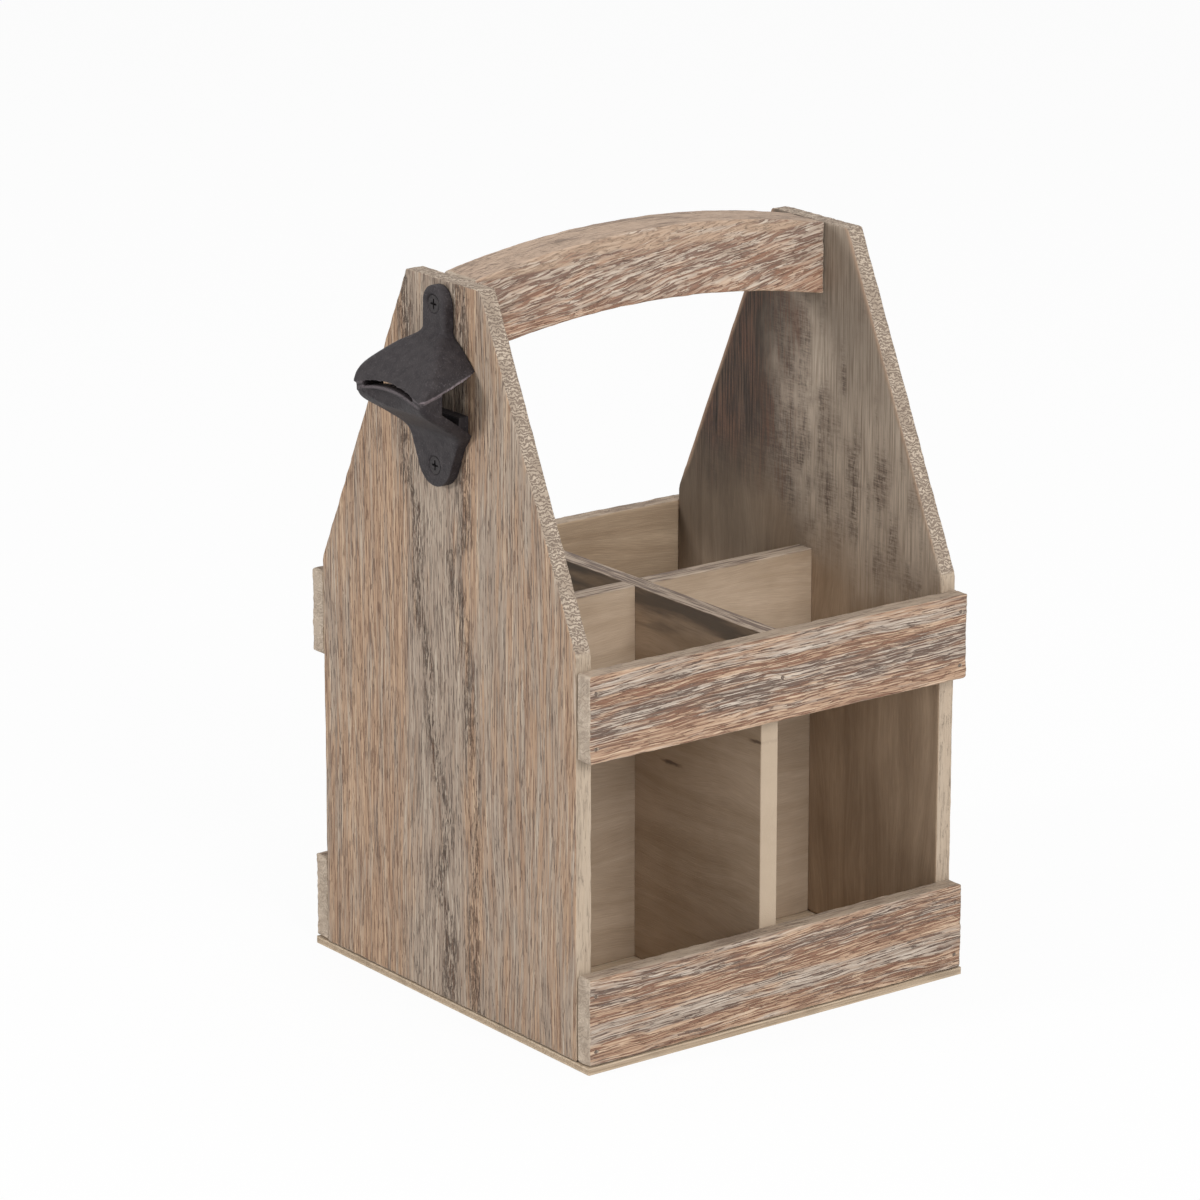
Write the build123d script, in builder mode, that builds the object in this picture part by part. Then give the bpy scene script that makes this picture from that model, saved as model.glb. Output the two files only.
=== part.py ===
"""Carrying caddy for four bottles: brushed boards nailed together, with an iron bottle opener on one end.

Millimetres, +Z up. X runs along the handle, from the end that carries the opener (-X) to the far end (+X),
and the slats lie along the front (-Y) and the back (+Y). The origin is the middle of the underside.
"""
import os
from math import atan, cos, sin, tan

from build123d import *

os.makedirs("parts", exist_ok=True)

# Driving dimensions of the whole caddy
caddy_length = 200.0
panel_width = 182.0
panel_top_width = 52.0
panel_top_height = 316.0
shoulder_height = 177.0
panel_thickness = 8.0
base_thickness = 3.0
edge_ease = 0.6

# Slats, which lap over the edges of the end panels
slat_thickness = 8.5
lower_slat_height = 38.5
upper_slat_height = 38.0
upper_slat_level = 133.0

# Dividers, halved into each other
divider_thickness = 9.0
divider_height = 167.0
halving_clearance = 0.1

# Handle, arched upwards between the end panels
handle_thickness = 22.0
handle_height = 32.0
handle_arch = 10.0
handle_ease = 1.6

# Headless brads, sunk under the surface
brad_radius = 0.75
brad_length = 20.0
brad_point_length = 1.6
brad_sink = 0.4
brad_clearance = 0.03
brad_low_inset = 6.5
brad_high_inset = 8.0
base_brad_length = 16.0
base_panel_brad_inset = 24.0
base_slat_brad_inset = 48.0
handle_brad_length = 28.0
handle_brad_side_inset = 3.5
handle_brad_top_inset = 5.0
handle_brad_low_side_inset = 5.0
handle_brad_low_inset = 13.0

# Cast opener: a hood grows out of the upper lug and a bill out of the lower one, joined by corner posts
upper_hole_inset = 10.0
hole_spacing = 68.0
upper_lug_radius = 8.0
lower_lug_radius = 12.0
lower_hole_inset = 9.0
plate_thickness = 5.0
plate_width = 36.0
neck_drop = 18.0
plate_high_drop = 44.0
plate_low_drop = 54.0
hood_width = 51.0
hood_reach = 29.0
hood_crown_drop = 10.0
hood_rim_drop = 35.4
hood_side_rise = 9.2
hood_arch = 4.6
bill_root_width = 31.0
bill_width = 48.0
bill_reach = 27.8
bill_root_drop = 58.5
bill_lip_drop = 37.2
bill_side_drop = 14.6
bill_arch = 5.4
lip_depth = 7.0
post_width = 7.0
post_depth = 12.0
post_inset = 1.0
post_foot_drop = 3.5
post_head_rise = 3.0
neck_recess_radius = 45.0
neck_recess_depth = 2.8
lip_thickness = 1.9
casting_wall = 4.2
corner_radius = 2.6
lug_ease = 1.2
sink_angle = 90.0

# The hood and the bill swell from the plate in steps of height, width and reach, each a share of the whole
hood_shares = [
    (0, 0, 0),
    (0.18, 0.2, 0.23),
    (0.33, 0.49, 0.46),
    (0.49, 0.74, 0.65),
    (0.66, 0.94, 0.83),
    (0.84, 0.99, 0.95),
    (1.1, 1, 1),
]
bill_shares = [
    (0, 0, 0),
    (0.13, 0.3, 0.03),
    (0.26, 0.53, 0.1),
    (0.41, 0.73, 0.28),
    (0.58, 0.88, 0.51),
    (0.76, 0.98, 0.78),
    (0.9, 1, 0.93),
    (1.08, 1, 1),
    (1.4, 1, 1),
]
corner_share = 0.4

# Countersunk screws that hold the opener
screw_shank_radius = 1.7
screw_head_radius = 3.7
screw_head_sink = 0.6
screw_tip_length = 3.0
screw_clearance = 0.05
upper_screw_length = 28.0
lower_screw_length = 11.5

# What follows from the driving dimensions
overrun = 2.0
half_length = caddy_length / 2
half_panel = panel_width / 2
half_depth = half_panel + slat_thickness
inner_half_length = half_length - panel_thickness
end_brad_x = half_length - panel_thickness / 2
lap_level = base_thickness + divider_height / 2
handle_foot_level = panel_top_height - handle_height
upper_hole_height = panel_top_height - upper_hole_inset
lower_hole_height = upper_hole_height - hole_spacing
plate_high_level = upper_hole_height - plate_high_drop
plate_low_level = upper_hole_height - plate_low_drop
hood_crown_level = upper_hole_height - hood_crown_drop
hood_rim_level = upper_hole_height - hood_rim_drop
bill_lip_level = upper_hole_height - bill_lip_drop
bill_root_level = upper_hole_height - bill_root_drop


def brad_seats(points, facing):
    """Planes at the heads of brads that are driven into a face at the given points, +Z going inward."""
    inward = Vector(*facing) * -1
    return [Plane(origin=Vector(*point) + inward * brad_sink, z_dir=inward) for point in points]


def drill(seats, radius, length, sink):
    """Bores from the surface outside each seat to a little past the tip of what is driven there."""
    with Locations(*[seat.offset(-sink - overrun) for seat in seats]):
        Cylinder(
            radius,
            overrun + sink + length + halving_clearance,
            align=(Align.CENTER, Align.CENTER, Align.MIN),
            mode=Mode.SUBTRACT,
        )


def drill_brads(seats, length):
    """Bores for brads of one length."""
    drill(seats, brad_radius + brad_clearance, length, brad_sink)


def drill_screw(seat, length):
    """Pilot bore for one of the opener's screws."""
    drill([seat], screw_shank_radius + screw_clearance, length, screw_head_sink)


# Two brads go through each end of a slat into the panel, and one through its middle into the cross divider
sides = {"front": -1, "back": 1}
slat_rows = {"lower": (base_thickness, lower_slat_height), "upper": (upper_slat_level, upper_slat_height)}
slat_seats = {}
for side_name, side in sides.items():
    for row_name, (level, height) in slat_rows.items():
        points = [
            (x, side * half_depth, z)
            for x in (-end_brad_x, end_brad_x)
            for z in (level + brad_low_inset, level + height - brad_high_inset)
        ]
        points.append((0, side * half_depth, level + height / 2))
        slat_seats[f"{side_name}_{row_name}"] = brad_seats(points, (0, side, 0))
all_slat_seats = [seat for seats in slat_seats.values() for seat in seats]

# Two brads go through each end panel into the end grain of the handle
ends = {"near": -1, "far": 1}
handle_seats = {
    name: brad_seats(
        [
            (
                end * half_length,
                handle_thickness / 2 - handle_brad_side_inset,
                panel_top_height - handle_brad_top_inset,
            ),
            (
                end * half_length,
                handle_brad_low_side_inset - handle_thickness / 2,
                handle_foot_level + handle_brad_low_inset,
            ),
        ],
        (end, 0, 0),
    )
    for name, end in ends.items()
}

# Brads come up through the base into the panels and into the lower slats
base_panel_points = [
    (x, y, 0)
    for x in (-end_brad_x, end_brad_x)
    for y in (base_panel_brad_inset - half_panel, 0, half_panel - base_panel_brad_inset)
]
base_slat_points = [
    (x, side * (half_panel + slat_thickness / 2), 0)
    for x in (base_slat_brad_inset - half_length, half_length - base_slat_brad_inset)
    for side in sides.values()
]
base_seats = brad_seats(base_panel_points + base_slat_points, (0, 0, -1))

# The screws' heads lie sunk in the lugs, in the middle of the near panel
lug_face = -half_length - plate_thickness
screw_seats = {
    name: Plane(origin=(lug_face + screw_head_sink, 0, level), x_dir=(0, 1, 0), z_dir=(1, 0, 0))
    for name, level in (("upper", upper_hole_height), ("lower", lower_hole_height))
}
screw_lengths = {"upper": upper_screw_length, "lower": lower_screw_length}

# Plywood base under everything, flush with the panels and the lower slats
with BuildPart() as base_board:
    with Locations((0, 0, base_thickness / 2)):
        Box(caddy_length, half_depth * 2, base_thickness)
    fillet(base_board.edges().filter_by(Axis.Z), edge_ease)
    drill_brads(base_seats, base_brad_length)
base_board.part.label = "base_board"
export_step(base_board.part, "parts/base_board.step")

# End panels: upright boards that narrow from the shoulders to the flat top
for name, end in ends.items():
    with BuildPart() as end_panel:
        with BuildSketch(Plane.YZ.offset(end * half_length)):
            with BuildLine():
                Polyline(
                    (-half_panel, base_thickness),
                    (half_panel, base_thickness),
                    (half_panel, shoulder_height),
                    (panel_top_width / 2, panel_top_height),
                    (-panel_top_width / 2, panel_top_height),
                    (-half_panel, shoulder_height),
                    close=True,
                )
            make_face()
        extrude(amount=-end * panel_thickness)
        fillet(end_panel.edges(), edge_ease)
        drill_brads([seat for seat in all_slat_seats if seat.origin.X * end > 0], brad_length)
        drill_brads(handle_seats[name], handle_brad_length)
        drill_brads([seat for seat in base_seats if seat.origin.X * end > 0], base_brad_length)
        if name == "near":
            for screw_name, seat in screw_seats.items():
                drill_screw(seat, screw_lengths[screw_name])
    end_panel.part.label = f"{name}_end_panel"
    export_step(end_panel.part, f"parts/{name}_end_panel.step")

# Slats along the front and the back, over the panels' edges and flush with their outer faces
for side_name, side in sides.items():
    for row_name, (level, height) in slat_rows.items():
        slat_name = f"{side_name}_{row_name}"
        with BuildPart() as slat:
            with Locations((0, side * (half_panel + slat_thickness / 2), level + height / 2)):
                Box(caddy_length, slat_thickness, height)
            fillet(slat.edges(), edge_ease)
            drill_brads(slat_seats[slat_name], brad_length)
            if row_name == "lower":
                under_slat = [seat for seat in base_seats if seat.origin.Y * side > half_panel]
                drill_brads(under_slat, base_brad_length)
        slat.part.label = f"{slat_name}_slat"
        export_step(slat.part, f"parts/{slat_name}_slat.step")

# Long divider between the end panels, slotted from above
slot_width = divider_thickness + halving_clearance * 2
with BuildPart() as long_divider:
    with Locations((0, 0, base_thickness + divider_height / 2)):
        Box(inner_half_length * 2, divider_thickness, divider_height)
    fillet(long_divider.edges(), edge_ease)
    with Locations((0, 0, lap_level - halving_clearance)):
        Box(
            slot_width,
            divider_thickness + overrun,
            divider_height,
            align=(Align.CENTER, Align.CENTER, Align.MIN),
            mode=Mode.SUBTRACT,
        )
long_divider.part.label = "long_divider"
export_step(long_divider.part, "parts/long_divider.step")

# Cross divider from front to back, slotted from below, so that its top edge runs through
with BuildPart() as cross_divider:
    with Locations((0, 0, base_thickness + divider_height / 2)):
        Box(divider_thickness, panel_width, divider_height)
    fillet(cross_divider.edges(), edge_ease)
    with Locations((0, 0, lap_level)):
        Box(
            divider_thickness + overrun,
            slot_width,
            divider_height,
            align=(Align.CENTER, Align.CENTER, Align.MAX),
            mode=Mode.SUBTRACT,
        )
    drill_brads([seat for seat in all_slat_seats if seat.origin.X == 0], brad_length)
cross_divider.part.label = "cross_divider"
export_step(cross_divider.part, "parts/cross_divider.step")

# Handle, flush with the panels' tops at its ends, sawn to the same arch above and below
with BuildPart() as handle:
    with BuildSketch(Plane.XZ):
        with BuildLine():
            upper_arc = ThreePointArc(
                (-inner_half_length, panel_top_height),
                (0, panel_top_height + handle_arch),
                (inner_half_length, panel_top_height),
            )
            lower_arc = ThreePointArc(
                (-inner_half_length, handle_foot_level),
                (0, handle_foot_level + handle_arch),
                (inner_half_length, handle_foot_level),
            )
            Line(upper_arc @ 0, lower_arc @ 0)
            Line(upper_arc @ 1, lower_arc @ 1)
        make_face()
    extrude(amount=handle_thickness / 2, both=True)
    fillet(handle.edges().filter_by(GeomType.CIRCLE), handle_ease)
    for seats in handle_seats.values():
        drill_brads(seats, handle_brad_length)
    drill_screw(screw_seats["upper"], upper_screw_length)
handle.part.label = "handle"
export_step(handle.part, "parts/handle.step")


def stations(shares, levels, half_widths, reaches):
    """Height, half width and reach of each section, between the values at the two ends of the swell."""
    return [
        tuple(a + share * (b - a) for share, (a, b) in zip(row, (levels, half_widths, reaches)))
        for row in shares
    ]


def swell(sections, back):
    """Solid lofted upwards through level sections that stand out from the wall, front corners round."""
    with BuildPart() as form:
        for level, half_width, reach in sections:
            with BuildSketch(Plane.XY.offset(level)) as section:
                with Locations((-half_length - (back + reach) / 2, 0)):
                    Rectangle(reach - back, half_width * 2)
                front_corners = section.vertices().group_by(Axis.X)[0]
                fillet(front_corners, min(corner_radius, (reach - back) * corner_share))
        loft()
    return form.part


def piece_within(form, low, high):
    """What of a solid lies in the box between two corners."""
    with BuildPart() as piece:
        add(form)
        with Locations((Vector(*low) + Vector(*high)) / 2):
            Box(*(Vector(*high) - Vector(*low)), mode=Mode.INTERSECT)
    return piece.part


def hollow(sections, sink):
    """The sections again, drawn in by the casting's wall and moved up or down by the given amount."""
    return [
        (level + sink, half_width - casting_wall, reach - casting_wall)
        for level, half_width, reach in sections
        if reach - casting_wall * 2 > plate_thickness
    ]


# Hood of the opener: a hollow bell whose rim is arched in front and climbs to the wall at the sides
hood_sections = stations(
    hood_shares,
    (hood_crown_level, hood_rim_level),
    (upper_lug_radius, hood_width / 2),
    (plate_thickness, hood_reach),
)
hood_slope = atan(hood_side_rise / hood_reach)
hood_front_level = hood_rim_level - overrun * tan(hood_slope)
hood_half_span = hood_width / 2 + overrun
with BuildPart() as hood:
    add(swell(hood_sections, 0))
    add(swell(hollow(hood_sections, -casting_wall), -overrun), mode=Mode.SUBTRACT)
    with BuildSketch(Plane.YZ.offset(-half_length - hood_reach - overrun)):
        with BuildLine():
            rim = ThreePointArc(
                (-hood_half_span, hood_front_level),
                (0, hood_front_level + hood_arch),
                (hood_half_span, hood_front_level),
            )
            Polyline(
                rim @ 1,
                (hood_half_span, hood_front_level - hood_reach),
                (-hood_half_span, hood_front_level - hood_reach),
                rim @ 0,
            )
        make_face()
    extrude(amount=hood_reach * 2, dir=(cos(hood_slope), 0, sin(hood_slope)), mode=Mode.SUBTRACT)

# Bill of the opener: its lip follows the hood's rim in front, over a recess for the bottle's neck, and
# falls to the wall at the sides
bill_sections = stations(
    bill_shares,
    (bill_root_level, bill_lip_level),
    (bill_root_width / 2, bill_width / 2),
    (plate_thickness, bill_reach),
)
bill_front = -half_length - bill_reach
bill_top = bill_lip_level + bill_arch
bill_high_level = bill_lip_level + hood_reach
bill_half_span = bill_width / 2 + overrun
bill_form = swell(bill_sections, 0)
brow_side_level = bill_lip_level - lip_thickness
brow_top = bill_top - lip_thickness
recess_axis_x = bill_front + neck_recess_depth - neck_recess_radius
with BuildPart() as neck_recess:
    with BuildSketch(Plane.YZ.offset(bill_front - overrun)):
        with BuildLine():
            brow = ThreePointArc(
                (-bill_half_span, brow_side_level),
                (0, brow_top),
                (bill_half_span, brow_side_level),
            )
            Polyline(
                brow @ 1,
                (bill_half_span, bill_root_level),
                (-bill_half_span, bill_root_level),
                brow @ 0,
            )
        make_face()
    extrude(amount=overrun + neck_recess_depth)
    with Locations((recess_axis_x, 0, bill_lip_level)):
        Cylinder(neck_recess_radius, (bill_lip_level - bill_root_level) * 2, mode=Mode.INTERSECT)
with BuildPart() as bill:
    add(bill_form)
    add(swell(hollow(bill_sections, casting_wall), plate_thickness), mode=Mode.SUBTRACT)
    lip_low = (bill_front, -bill_width / 2, bill_lip_level - lip_thickness)
    add(piece_within(bill_form, lip_low, (bill_front + lip_depth, bill_width / 2, bill_top)))
    with BuildSketch(Plane.YZ.offset(bill_front - overrun)):
        with BuildLine():
            lip = ThreePointArc(
                (-bill_half_span, bill_lip_level),
                (0, bill_top),
                (bill_half_span, bill_lip_level),
            )
            Polyline(
                lip @ 1,
                (bill_half_span, bill_high_level),
                (-bill_half_span, bill_high_level),
                lip @ 0,
            )
        make_face()
    extrude(amount=bill_reach + overrun, mode=Mode.SUBTRACT)
    with BuildSketch(Plane.XZ):
        with BuildLine():
            Polyline(
                (bill_front + lip_depth, bill_lip_level),
                (-half_length, bill_lip_level - bill_side_drop),
                (-half_length, bill_high_level),
                (bill_front + lip_depth, bill_high_level),
                close=True,
            )
        make_face()
    extrude(amount=bill_half_span, both=True, mode=Mode.SUBTRACT)
    add(neck_recess.part, mode=Mode.SUBTRACT)

# Posts in the two front corners, where the bill and the hood hold together, cut along the hood's rim
post_front = -half_length - hood_reach
post_foot_level = bill_lip_level - post_foot_drop
post_head_level = hood_rim_level + post_head_rise
post_back_level = post_head_level + post_depth * tan(hood_slope)
post_half_width = hood_width / 2 - post_inset
post_form = swell(
    [
        (bill_lip_level, bill_width / 2, bill_reach),
        (post_back_level, post_half_width, hood_reach - post_inset),
    ],
    0,
)
with BuildPart() as posts:
    for form, low, high in (
        (bill_form, post_foot_level, bill_lip_level),
        (post_form, bill_lip_level, post_back_level),
    ):
        near_corner = (post_front, -hood_width / 2, low)
        add(piece_within(form, near_corner, (post_front + post_depth, hood_width / 2, high)))
    with Locations((post_front, 0, bill_lip_level)):
        Box(
            hood_reach * 2,
            (post_half_width - post_width) * 2,
            hood_reach,
            mode=Mode.SUBTRACT,
        )
    with BuildSketch(Plane.XZ):
        with BuildLine():
            Polyline(
                (post_front, post_head_level),
                (post_front + post_depth, post_back_level),
                (post_front, post_back_level),
                close=True,
            )
        make_face()
    extrude(amount=hood_width / 2, both=True, mode=Mode.SUBTRACT)

# The casting: plate and lugs against the near panel, with the hood and the bill grown onto them
lower_lug_level = lower_hole_height - lower_hole_inset + lower_lug_radius
with BuildPart() as bottle_opener:
    with BuildSketch(Plane.YZ.offset(-half_length)) as plate:
        with Locations((0, lower_lug_level)):
            Circle(lower_lug_radius)
        with Locations((0, plate_low_level)):
            Rectangle(plate_width, plate_high_level - plate_low_level, align=(Align.CENTER, Align.MIN))
        make_hull()
        with Locations((0, upper_hole_height)):
            Circle(upper_lug_radius)
            Rectangle(
                upper_lug_radius * 2,
                neck_drop,
                align=(Align.CENTER, Align.MAX),
            )
    extrude(amount=-plate_thickness)
    lug_rims = bottle_opener.faces().sort_by(Axis.X)[0].edges().filter_by(GeomType.CIRCLE)
    fillet(lug_rims, lug_ease)
    add(hood.part)
    add(bill.part)
    add(posts.part)
    lug_mouths = [seat.offset(-screw_head_sink) for seat in screw_seats.values()]
    with Locations(*[Plane(mouth.origin, z_dir=(-1, 0, 0)) for mouth in lug_mouths]):
        CounterSinkHole(
            screw_shank_radius + screw_clearance,
            screw_head_radius + screw_head_sink + screw_clearance,
            depth=plate_thickness + overrun,
            counter_sink_angle=sink_angle,
        )
bottle_opener.part.label = "bottle_opener"
export_step(bottle_opener.part, "parts/bottle_opener.step")

# Screws: the upper one reaches through the panel into the handle's end grain
for name, seat in screw_seats.items():
    length = screw_lengths[name]
    head_depth = screw_head_radius - screw_shank_radius
    with BuildPart() as screw:
        with BuildSketch(Plane(origin=seat.origin, x_dir=(1, 0, 0), z_dir=(0, -1, 0))):
            with BuildLine():
                Polyline(
                    (0, 0),
                    (0, screw_head_radius),
                    (head_depth, screw_shank_radius),
                    (length - screw_tip_length, screw_shank_radius),
                    (length, 0),
                    close=True,
                )
            make_face()
        revolve(axis=Axis(seat.origin, (1, 0, 0)))
    screw.part.label = f"opener_{name}_screw"
    export_step(screw.part, f"parts/opener_{name}_screw.step")

# Brads, one node for each board that they hold
brad_groups = {f"{slat_name}_brads": (seats, brad_length) for slat_name, seats in slat_seats.items()}
brad_groups |= {f"handle_{name}_brads": (seats, handle_brad_length) for name, seats in handle_seats.items()}
brad_groups["base_brads"] = (base_seats, base_brad_length)
for name, (seats, length) in brad_groups.items():
    with BuildPart() as brads:
        with Locations(*seats):
            Cylinder(
                brad_radius,
                length - brad_point_length,
                align=(Align.CENTER, Align.CENTER, Align.MIN),
            )
        with Locations(*[seat.offset(length - brad_point_length) for seat in seats]):
            Cone(brad_radius, 0, brad_point_length, align=(Align.CENTER, Align.CENTER, Align.MIN))
    brads.part.label = name
    export_step(brads.part, f"parts/{name}.step")
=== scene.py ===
import bpy
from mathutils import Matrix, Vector


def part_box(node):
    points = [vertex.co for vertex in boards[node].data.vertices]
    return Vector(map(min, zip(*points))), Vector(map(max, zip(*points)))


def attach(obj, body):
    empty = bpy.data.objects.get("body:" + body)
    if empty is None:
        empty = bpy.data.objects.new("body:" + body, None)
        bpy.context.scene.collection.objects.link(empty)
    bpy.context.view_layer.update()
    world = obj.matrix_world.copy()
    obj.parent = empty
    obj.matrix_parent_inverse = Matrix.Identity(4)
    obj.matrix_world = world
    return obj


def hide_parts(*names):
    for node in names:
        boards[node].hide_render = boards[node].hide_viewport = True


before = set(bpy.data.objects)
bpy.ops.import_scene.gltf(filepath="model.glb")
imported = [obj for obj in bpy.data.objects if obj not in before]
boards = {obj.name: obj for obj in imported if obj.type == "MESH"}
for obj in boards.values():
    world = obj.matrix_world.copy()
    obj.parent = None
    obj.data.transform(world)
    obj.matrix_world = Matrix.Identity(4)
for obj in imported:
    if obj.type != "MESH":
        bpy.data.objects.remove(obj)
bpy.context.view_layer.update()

# Base board: a sheet of 3 mm plywood under the whole caddy, flush with the panels and the lower slats.
# It is glued and nailed from below, and only its edge shows: thin plies, the outer two pale.


def seen(red, green, blue):
    """Colour of a surface that looks like this in plain light, each share from 0 to 255."""
    shares = (red / 255, green / 255, blue / 255)
    return tuple(v / 12.92 if v < 0.04 else ((v + 0.055) / 1.055) ** 2.4 for v in shares)


class Term:
    """A number or vector in a node tree. Sums written with it add their Math nodes to the tree."""

    def __init__(self, bench, socket):
        self.bench, self.socket = bench, socket

    def sum(self, operation, *terms):
        return self.bench.put("ShaderNodeMath", dict(enumerate(terms)), operation=operation)

    def __add__(self, other):
        return self.sum("ADD", self, other)

    def __radd__(self, other):
        return self.sum("ADD", other, self)

    def __sub__(self, other):
        return self.sum("SUBTRACT", self, other)

    def __rsub__(self, other):
        return self.sum("SUBTRACT", other, self)

    def __mul__(self, other):
        return self.sum("MULTIPLY", self, other)

    def __rmul__(self, other):
        return self.sum("MULTIPLY", other, self)

    def __truediv__(self, other):
        return self.sum("DIVIDE", self, other)

    def __rtruediv__(self, other):
        return self.sum("DIVIDE", other, self)

    def __pow__(self, other):
        return self.sum("POWER", self, other)

    def __abs__(self):
        return self.sum("ABSOLUTE", self)

    def least(self, other):
        return self.sum("MINIMUM", self, other)

    def most(self, other):
        return self.sum("MAXIMUM", self, other)

    def turns(self):
        """Rises from 0 to 1 and falls back, once in every whole number."""
        return self.sum("PINGPONG", self, 0.5) * 2.0

    def between(self, low, high):
        """0 up to low, 1 from high, and a smooth rise between them; falls where low is the larger."""
        return self.bench.put(
            "ShaderNodeMapRange",
            {"Value": self, "From Min": low, "From Max": high},
            interpolation_type="SMOOTHSTEP",
        )


class Bench:
    """A node tree that is being put together, for a finish or for a shape."""

    def __init__(self, tree):
        self.tree = tree

    def put(self, kind, inputs=None, out=0, stops=None, points=None, **settings):
        """Adds a node, sets it up, feeds its sockets and returns one of its outputs."""
        node = self.tree.nodes.new(kind)
        for name, value in settings.items():
            setattr(node, name, value)
        if stops:
            ramp = node.color_ramp
            while len(ramp.elements) < len(stops):
                ramp.elements.new(0.5)
            for element, (place, colour) in zip(ramp.elements, stops):
                element.position = place
                element.color = (*colour, 1)
        if points:
            curve = node.mapping.curves[0]
            while len(curve.points) < len(points):
                curve.points.new(0.5, 0.5)
            for point, place in zip(curve.points, points):
                point.location = place
                point.handle_type = "AUTO_CLAMPED"
            node.mapping.update()
        for name, value in (inputs or {}).items():
            if isinstance(value, Term):
                self.tree.links.new(value.socket, node.inputs[name])
            else:
                node.inputs[name].default_value = value
        return Term(self, node.outputs[out])

    def blend(self, share, first, second):
        """Colour between two colours."""
        pair = {
            name: value if isinstance(value, Term) else (*value, 1)
            for name, value in ((6, first), (7, second))
        }
        return self.put("ShaderNodeMix", {0: share, **pair}, out=2, data_type="RGBA")

    def shade(self, colour, share):
        """Colour made lighter or darker by a share."""
        grey = self.put("ShaderNodeCombineXYZ", {0: share, 1: share, 2: share})
        return self.put("ShaderNodeVectorMath", {0: colour, 1: grey}, operation="MULTIPLY")

    def tones(self, share, colours):
        """Colour read off a row of colours, dark to light, by a share."""
        places = [0.12 + 0.76 * k / (len(colours) - 1) for k in range(len(colours))]
        return self.put("ShaderNodeValToRGB", {0: share}, stops=list(zip(places, colours)))

    def profile(self, value, stops):
        """Share read off a smooth line through stops of place and share."""
        first, last = stops[0][0], stops[-1][0]
        part = self.put("ShaderNodeMapRange", {"Value": value, "From Min": first, "From Max": last})
        points = [((place - first) / (last - first), share) for place, share in stops]
        return self.put("ShaderNodeFloatCurve", {"Value": part}, points=points)

    def streak(self, along, across, depth, seed, length, width, detail=2.0, rough=0.5):
        """Noise drawn out along the grain, 0 to 1 around 0.5; its length and width are in millimetres."""
        place = self.put(
            "ShaderNodeCombineXYZ",
            {0: along / length + seed * 7.31, 1: across / width + seed * 3.17, 2: depth / width},
        )
        return self.put(
            "ShaderNodeTexNoise",
            {"Vector": place, "Scale": 1.0, "Detail": detail, "Roughness": rough},
        )

    def part(self, vector, axis):
        """One of the three parts of a vector."""
        return self.put("ShaderNodeSeparateXYZ", {0: vector}, out="xyz".index(axis))

    def along(self, vector, other):
        """How far a vector points the way of another."""
        return self.put("ShaderNodeVectorMath", {0: vector, 1: other}, out=1, operation="DOT_PRODUCT")

    def grain_lines(self, place, order):
        """Millimetres along the grain, across the face and through the thickness of a board."""
        return [self.part(place, axis) * 1000.0 for axis in order]


def new_finish(name, metallic=0.0, specular=0.3):
    """A bench for a material, with its shader."""
    material = bpy.data.materials.new(name)
    material.use_nodes = True
    bench = Bench(material.node_tree)
    bench.material = material
    bench.skin = material.node_tree.nodes["Principled BSDF"]
    bench.skin.inputs["Metallic"].default_value = metallic
    bench.skin.inputs["Specular IOR Level"].default_value = specular
    bench.place = bench.put("ShaderNodeTexCoord", out="Object")
    return bench


def apply_finish(bench, colour, roughness, height, depth):
    """Feeds the shader with a colour, a roughness and a height in shares of a depth in metres."""
    links = bench.tree.links
    links.new(colour.socket, bench.skin.inputs["Base Color"])
    links.new(roughness.socket, bench.skin.inputs["Roughness"])
    bump = bench.put("ShaderNodeBump", {"Strength": 1.0, "Distance": depth, "Height": height})
    links.new(bump.socket, bench.skin.inputs["Normal"])
    return bench.material


def dress(node, material):
    """Gives a CAD piece its finish."""
    for slot in boards[node].material_slots:
        slot.material = material


base_middle, core_reach = 1.5, 0.75
pale_ply_dark, pale_ply_light, core_brown = seen(170, 150, 126), seen(203, 184, 160), seen(128, 106, 86)
ply = new_finish("plywood_finish")
a, b, c = ply.grain_lines(ply.place, "xyz")
fibre = ply.streak(a, b, c, 3.0, 30.0, 0.7, 3.0)
glue_wave = ply.streak(a, b, c, 5.0, 9.0, 6.0) * 0.5 - 0.25
core = abs(c - base_middle + glue_wave).between(core_reach, core_reach - 0.2)
colour = ply.blend(fibre.between(0.3, 0.7), pale_ply_dark, pale_ply_light)
colour = ply.blend(core * 0.35, colour, core_brown)
soil = ply.streak(a, b, c, 8.0, 22.0, 14.0).between(0.5, 0.75)
colour = ply.shade(colour, 1.0 - soil * 0.22)
dress("base_board", apply_finish(ply, colour, fibre * 0.1 + 0.72, fibre + core * -0.5, 0.0003))

# Dividers: two planed boards halved into each other, which make four bays. The cross one is slotted from
# below, so its top edge runs through. They are left smooth, with a thin grey-beige wash.
divider_top = 170.0
cross_knots = [(-30.0, 97.7, 1.9), (-88.0, 122.0, 1.4)]


def planed(bench, a, b, c, seed, light, dark, contrast=1.0):
    """Colour and height of planed wood: faint growth lines, fine pores and a cloudy wash."""
    drift = bench.streak(a, b, c, seed, 160.0, 45.0) - 0.5
    rings = bench.streak(a, b + drift * 34.0, c, seed + 1.0, 260.0, 4.5, 3.0)
    pores = bench.streak(a, b + drift * 34.0, c, seed + 2.0, 9.0, 0.45, 2.0, 0.6)
    cloud = bench.streak(a, b, c, seed + 3.0, 46.0, 24.0, 3.0)
    share = (rings - 0.5) * (1.6 * contrast) + (cloud - 0.5) * 1.8 + 0.5
    colour = bench.blend(share, dark, light)
    return bench.shade(colour, (pores - 0.5) * (0.55 * contrast) + 1.0), pores * 0.6 + rings * 0.3


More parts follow.
